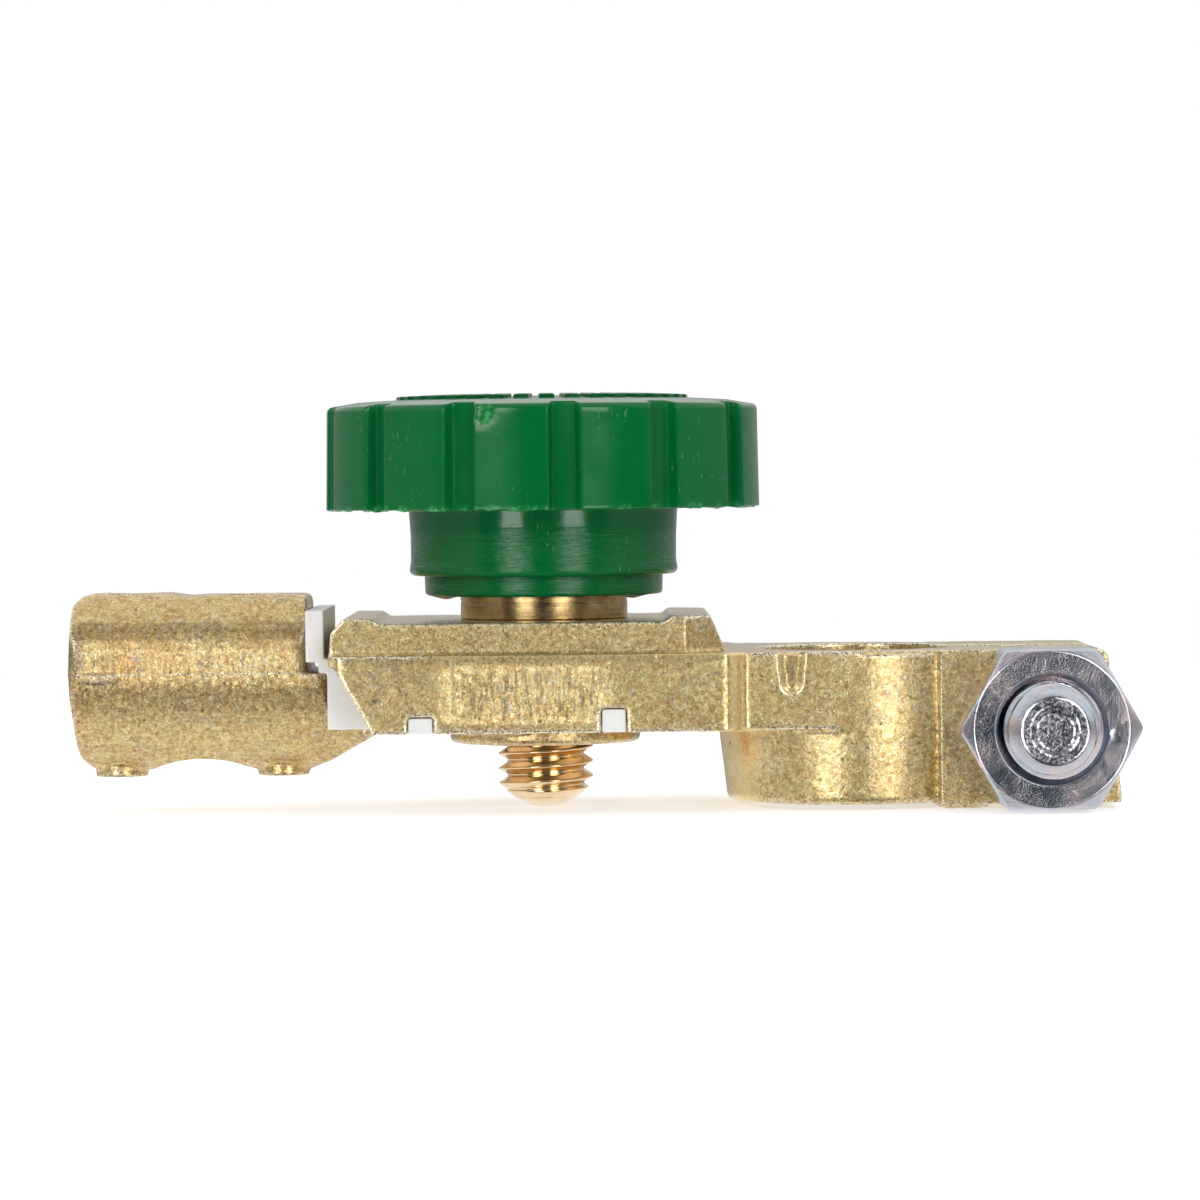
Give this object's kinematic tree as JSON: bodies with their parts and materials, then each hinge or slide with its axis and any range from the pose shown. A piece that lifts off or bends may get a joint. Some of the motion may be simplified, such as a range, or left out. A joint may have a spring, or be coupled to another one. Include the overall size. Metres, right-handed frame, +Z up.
{
  "type": "battery isolator clamp",
  "caption": "Screw-down isolator clamp for a battery post: brass post ring with a bolt, cable barrel with set screws, nylon insulator and a lobed green knob.",
  "frame": {"origin": "the post bore's axis at the ring's underside", "axes": "+X runs from the post towards the clamp bolt and away from the cable barrel, +Z is up along the post and the knob's axis, +Y completes the right-handed frame, towards the bolt's head"},
  "size_m": [0.0881, 0.038, 0.0347],
  "materials": {
    "cast_brass": "rough die casting, bright where it is worn",
    "turned_brass": "turned and polished",
    "green_plastic": "glossy moulded plastic",
    "white_nylon": "natural moulded nylon",
    "zinc_steel": "bright zinc plating"
  },
  "bodies": {
    "clamp": {"post_clamp": "cast_brass", "cable_terminal": "cast_brass", "insulator": "white_nylon"},
    "collar": {"contact_collar": "turned_brass"},
    "knob": {"knob": "green_plastic", "threaded_stud": "turned_brass"},
    "bolt": {"clamp_bolt": "zinc_steel"},
    "nut": {"clamp_nut": "zinc_steel"},
    "screw_outer": {"cable_screw_outer": "zinc_steel"},
    "screw_inner": {"cable_screw_inner": "zinc_steel"}
  },
  "joints": [
    {"name": "knob_lift", "type": "slide", "parent": "clamp", "child": "collar", "axis": [0, 0, 1], "range_m": [0, 0.0075]},
    {"name": "knob_turn", "type": "hinge", "parent": "collar", "child": "knob", "pos_m": [-0.026, 0, 0.01535], "axis": [0, 0, 1], "range_deg": [0, 2160]},
    {"name": "bolt_draw", "type": "slide", "parent": "clamp", "child": "bolt", "axis": [0, 1, 0], "range_m": [0, 0.005]},
    {"name": "nut_turn", "type": "hinge", "parent": "clamp", "child": "nut", "pos_m": [0.0151, -0.01025, 0.0064], "axis": [0, -1, 0], "range_deg": [0, 1440]},
    {"name": "screw_outer_travel", "type": "slide", "parent": "clamp", "child": "screw_outer", "axis": [0, 0, -1], "range_m": [0, 0.0028]},
    {"name": "screw_inner_travel", "type": "slide", "parent": "clamp", "child": "screw_inner", "axis": [0, 0, -1], "range_m": [0, 0.0028]}
  ],
  "couplings": [
    {"joint": "knob_lift", "follows": "knob_turn", "m_per_rad": 0.00019894},
    {"joint": "bolt_draw", "follows": "nut_turn", "m_per_rad": 0.00019894}
  ]
}
